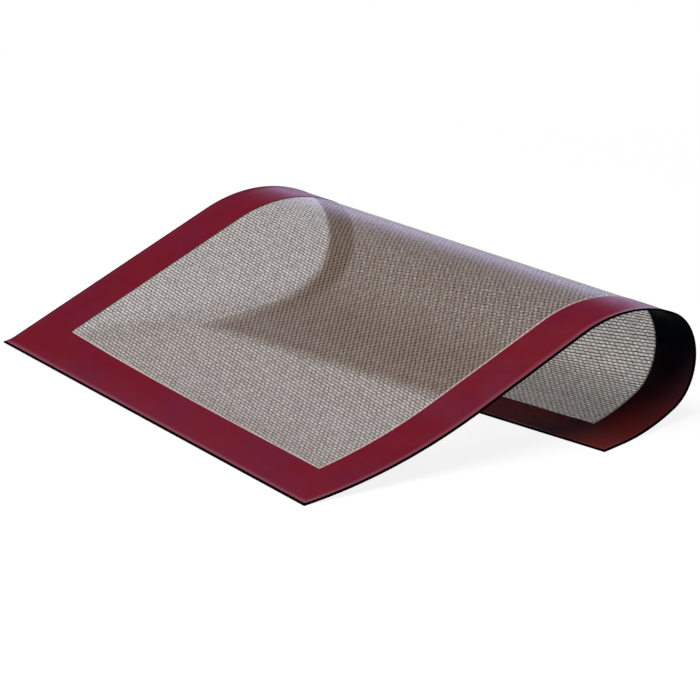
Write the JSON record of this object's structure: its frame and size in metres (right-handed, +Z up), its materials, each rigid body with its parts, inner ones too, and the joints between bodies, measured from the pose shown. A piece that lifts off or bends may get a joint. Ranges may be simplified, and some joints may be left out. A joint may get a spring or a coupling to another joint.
{
  "type": "silicone baking mat",
  "caption": "Thin rectangular baking mat of silicone-coated woven cloth with a wide coloured border; one end is curled over and tucked under, and the mat rests on it and on its front edge.",
  "frame": {"origin": "on the worktop, in the middle of the mat's footprint as it lies curled", "axes": "+X along the front edge, from the left corner to the right one; +Y back from the front edge towards the curl; +Z up"},
  "size_m": [0.3226, 0.2686, 0.0721],
  "materials": {
    "woven_cloth": "open plain weave of glass yarn",
    "clear_silicone": "translucent, satin, follows the weave",
    "coloured_silicone": "burgundy, smooth satin"
  },
  "bodies": {
    "root": {"glass_cloth": "woven_cloth", "baking_coat": "clear_silicone", "tray_coat": "clear_silicone", "coloured_border": "coloured_silicone"}
  },
  "joints": []
}
